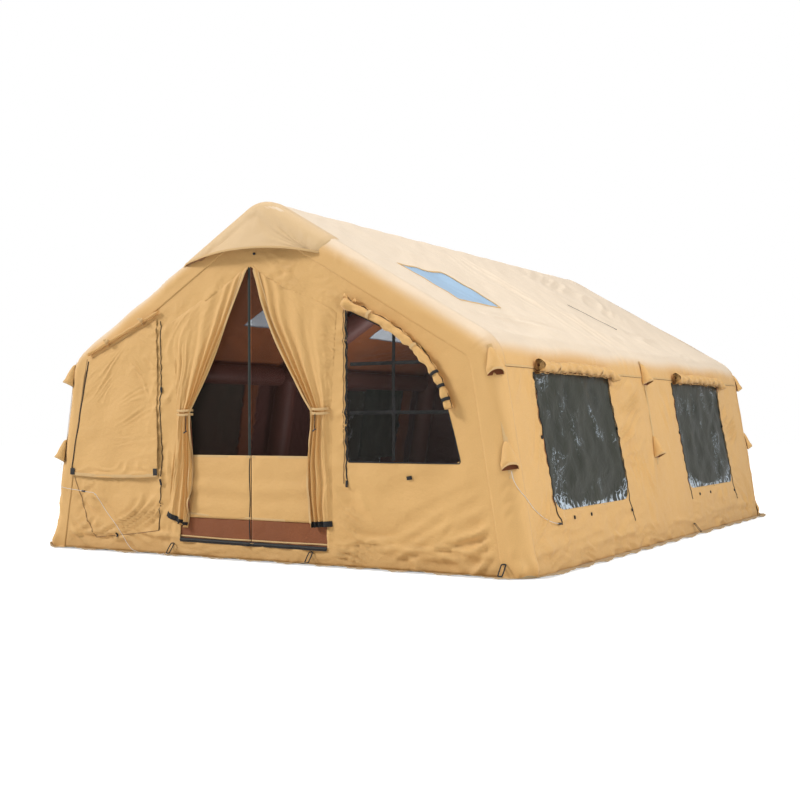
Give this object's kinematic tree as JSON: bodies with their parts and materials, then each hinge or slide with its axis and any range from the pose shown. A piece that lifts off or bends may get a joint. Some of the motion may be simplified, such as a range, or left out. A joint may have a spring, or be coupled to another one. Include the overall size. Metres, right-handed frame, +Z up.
{
  "type": "inflatable tent",
  "caption": "Inflatable house tent with air arches, hooded door with tied curtains, film windows, skylights and a ground skirt.",
  "frame": {"origin": "on the ground at the middle of the floor", "axes": "+X to the right of someone facing the door, +Y to the back along the ridge, +Z up"},
  "size_m": [4.68, 6.1988, 2.7344],
  "materials": {
    "wall_cloth": "matte",
    "roof_cloth": "matte",
    "bladder_film": "matte",
    "window_film": "glossy",
    "sky_film": "glossy",
    "mesh_cloth": "matte",
    "floor_cloth": "matte",
    "black_webbing": "matte",
    "black_plastic": "satin",
    "white_cord": "matte"
  },
  "bodies": {
    "frame": {"front_arch_beam": "bladder_film", "middle_arch_beam": "bladder_film", "rear_arch_beam": "bladder_film", "ridge_beam_front": "bladder_film", "ridge_beam_rear": "bladder_film", "eave_beam_right_front": "bladder_film", "eave_beam_right_rear": "bladder_film", "eave_beam_left_front": "bladder_film", "eave_beam_left_rear": "bladder_film", "front_arch_sleeve": "wall_cloth", "rear_arch_sleeve": "wall_cloth", "roof_panel_right": "roof_cloth", "roof_panel_left": "roof_cloth", "skylight_right_front": "sky_film", "skylight_left_front": "sky_film", "skylight_left_rear": "sky_film", "wall_right": "wall_cloth", "wall_left": "wall_cloth", "wall_front": "wall_cloth", "wall_rear": "wall_cloth", "window_right_front": "window_film", "window_right_rear": "window_film", "window_left_front": "window_film", "window_left_rear": "window_film", "window_front_right": "window_film", "window_front_left": "window_film", "groundsheet": "floor_cloth", "ground_skirt": "floor_cloth", "door_hood": "roof_cloth", "door_curtain_left": "wall_cloth", "door_curtain_right": "wall_cloth", "tieback_left": "wall_cloth", "tieback_right": "wall_cloth", "rolled_cover_right_front": "wall_cloth", "rolled_cover_right_rear": "wall_cloth", "rolled_cover_left_front": "wall_cloth", "rolled_cover_left_rear": "wall_cloth", "rolled_cover_front": "wall_cloth", "door_sill_zip": "black_webbing", "guy_pockets_right_front": "wall_cloth", "guy_pockets_right_middle": "wall_cloth", "guy_pockets_right_rear": "wall_cloth", "guy_pockets_left_front": "wall_cloth", "guy_pockets_left_middle": "wall_cloth", "guy_pockets_left_rear": "wall_cloth", "peg_loop_front_1": "black_webbing", "peg_loop_front_2": "black_webbing", "peg_loop_front_3": "black_webbing", "peg_loop_side": "black_webbing", "valve_body": "black_plastic", "guy_line_left": "white_cord", "guy_line_right": "white_cord", "roof_cord": "black_webbing"},
    "left_leaf": {"door_leaf_left": "mesh_cloth"},
    "right_leaf": {"door_leaf_right": "mesh_cloth"},
    "slider": {"door_zip_slider": "black_plastic"},
    "left_cover": {"window_cover_left": "wall_cloth"},
    "valve_cap": {"valve_cap": "black_plastic"},
    "tensioner": {"line_tensioner": "black_plastic"}
  },
  "joints": [
    {"name": "door_leaf_left_swing", "type": "hinge", "parent": "frame", "child": "left_leaf", "pos_m": [-0.78, -3.0035, 1], "axis": [0, 0, 1], "range_deg": [0, 95]},
    {"name": "door_leaf_right_swing", "type": "hinge", "parent": "frame", "child": "right_leaf", "pos_m": [0.66, -3.0035, 1], "axis": [0, 0, -1], "range_deg": [0, 95]},
    {"name": "door_zip_slide", "type": "slide", "parent": "left_leaf", "child": "slider", "axis": [0, 0, 1], "range_m": [-0.9, 0.9]},
    {"name": "window_cover_swing", "type": "hinge", "parent": "frame", "child": "left_cover", "pos_m": [-1.01, -3.0118, 1.87618], "axis": [-0.9275, 0, -0.3737], "range_deg": [0, 110]},
    {"name": "valve_cap_turn", "type": "hinge", "parent": "frame", "child": "valve_cap", "pos_m": [2.02127, 3.0098, 0.42], "axis": [0, 1, 0], "range_deg": [0, 360]},
    {"name": "line_tensioner_slide", "type": "slide", "parent": "frame", "child": "tensioner", "axis": [0.995, 0, -0.0995], "range_m": [-0.035, 0.035]}
  ]
}
